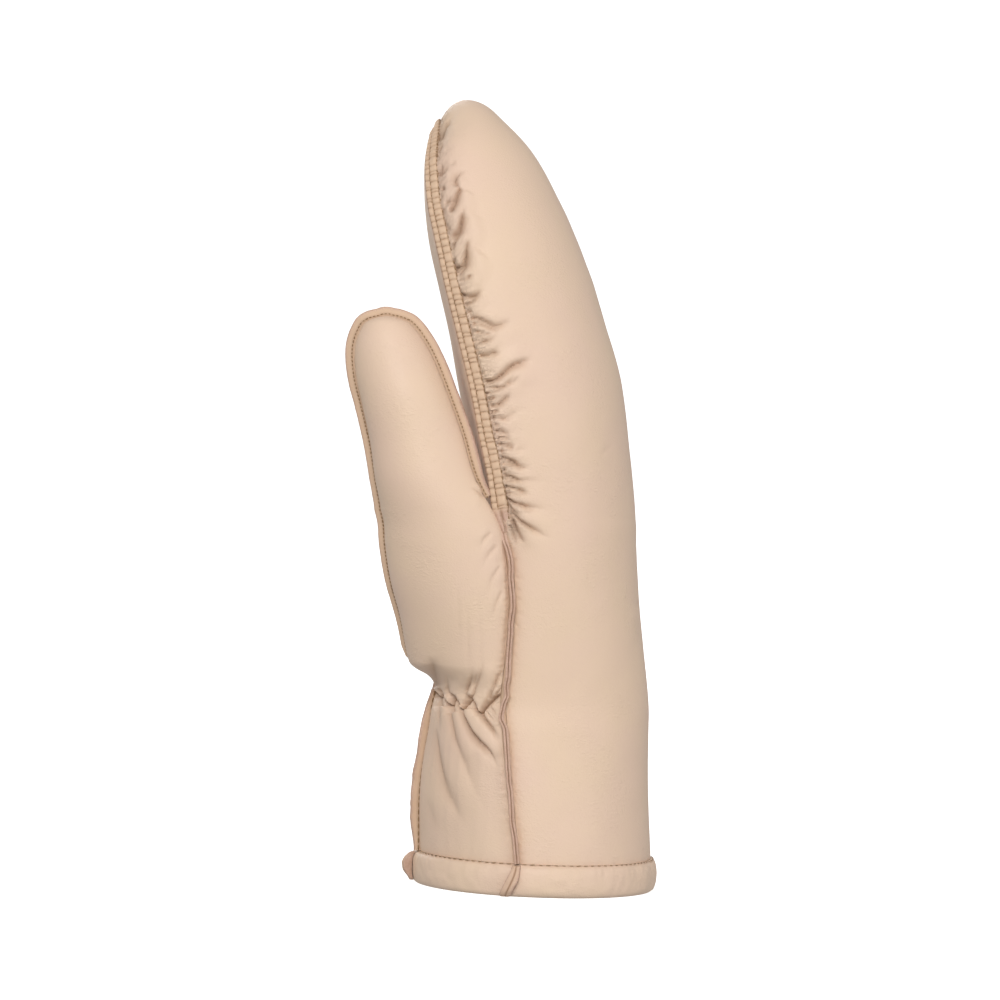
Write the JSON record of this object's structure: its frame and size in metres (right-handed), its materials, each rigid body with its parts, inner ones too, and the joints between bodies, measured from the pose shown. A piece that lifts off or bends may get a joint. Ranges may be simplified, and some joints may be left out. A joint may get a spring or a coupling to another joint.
{
  "type": "leather mitten",
  "caption": "Padded leather mitten for the right hand, with a gathered finger seam, an elasticated wrist and a rolled hem.",
  "frame": {"origin": "middle of the box's foot, on the surface that the mitten stands on", "axes": "+Z from the hem to the fingertips, +X the back of the hand, -X the palm, -Y the thumb side"},
  "size_m": [0.1154, 0.105, 0.2739],
  "materials": {
    "leather": "smooth pale tan nappa with a soft sheen",
    "leather_edge": "raw cut leather edge, matt"
  },
  "bodies": {
    "root": {"back_leather": "leather", "palm_leather": "leather", "thumb_front_leather": "leather", "thumb_rear_leather": "leather", "hem_band": "leather", "finger_seam_strip": "leather", "side_welt_thumb_side": "leather_edge", "side_welt_little_finger_side": "leather_edge", "palm_welt": "leather_edge", "thumb_welt": "leather_edge", "thumb_root_welt": "leather_edge", "side_welt_tail": "leather_edge", "little_finger_welt_tail": "leather_edge", "palm_welt_tail": "leather_edge"}
  },
  "joints": []
}
